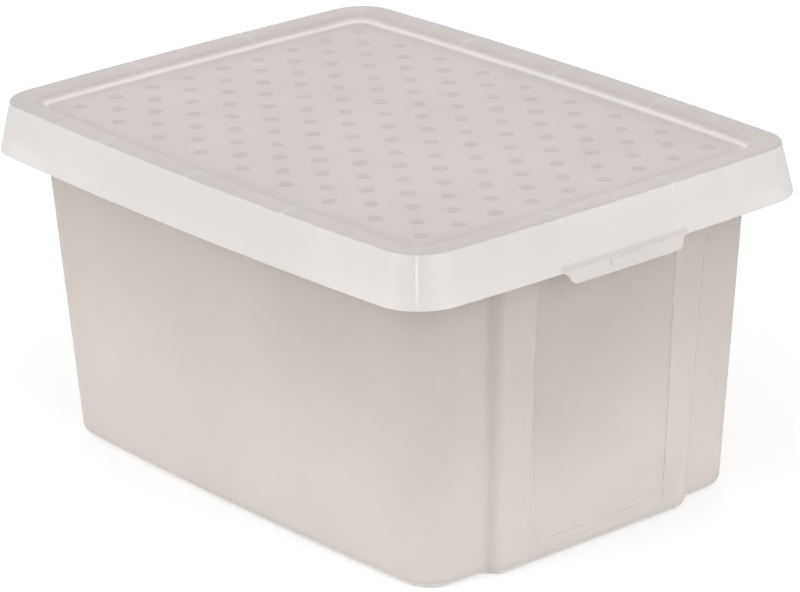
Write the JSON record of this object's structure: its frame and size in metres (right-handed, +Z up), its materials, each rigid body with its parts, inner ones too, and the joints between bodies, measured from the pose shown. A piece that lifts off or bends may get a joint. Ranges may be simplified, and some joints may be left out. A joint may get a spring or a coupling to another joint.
{
  "type": "storage box with lid",
  "caption": "Rectangular translucent plastic storage box with tapered walls, raised end panels and a flared lift-off lid with a recessed dotted top and finger tongues.",
  "frame": {"origin": "middle of the box on the surface it stands on", "axes": "+X along the length, +Y across the width, +Z up towards the lid"},
  "size_m": [0.4258, 0.3212, 0.2192],
  "materials": {
    "tub_plastic": "milky translucent, satin",
    "lid_plastic": "milky translucent, satin"
  },
  "bodies": {
    "tub": {"tub": "tub_plastic"},
    "lid": {"lid": "lid_plastic"}
  },
  "joints": [
    {"name": "lid_lift", "type": "slide", "parent": "tub", "child": "lid", "axis": [0, 0, 1], "range_m": [0, 0.12]}
  ]
}
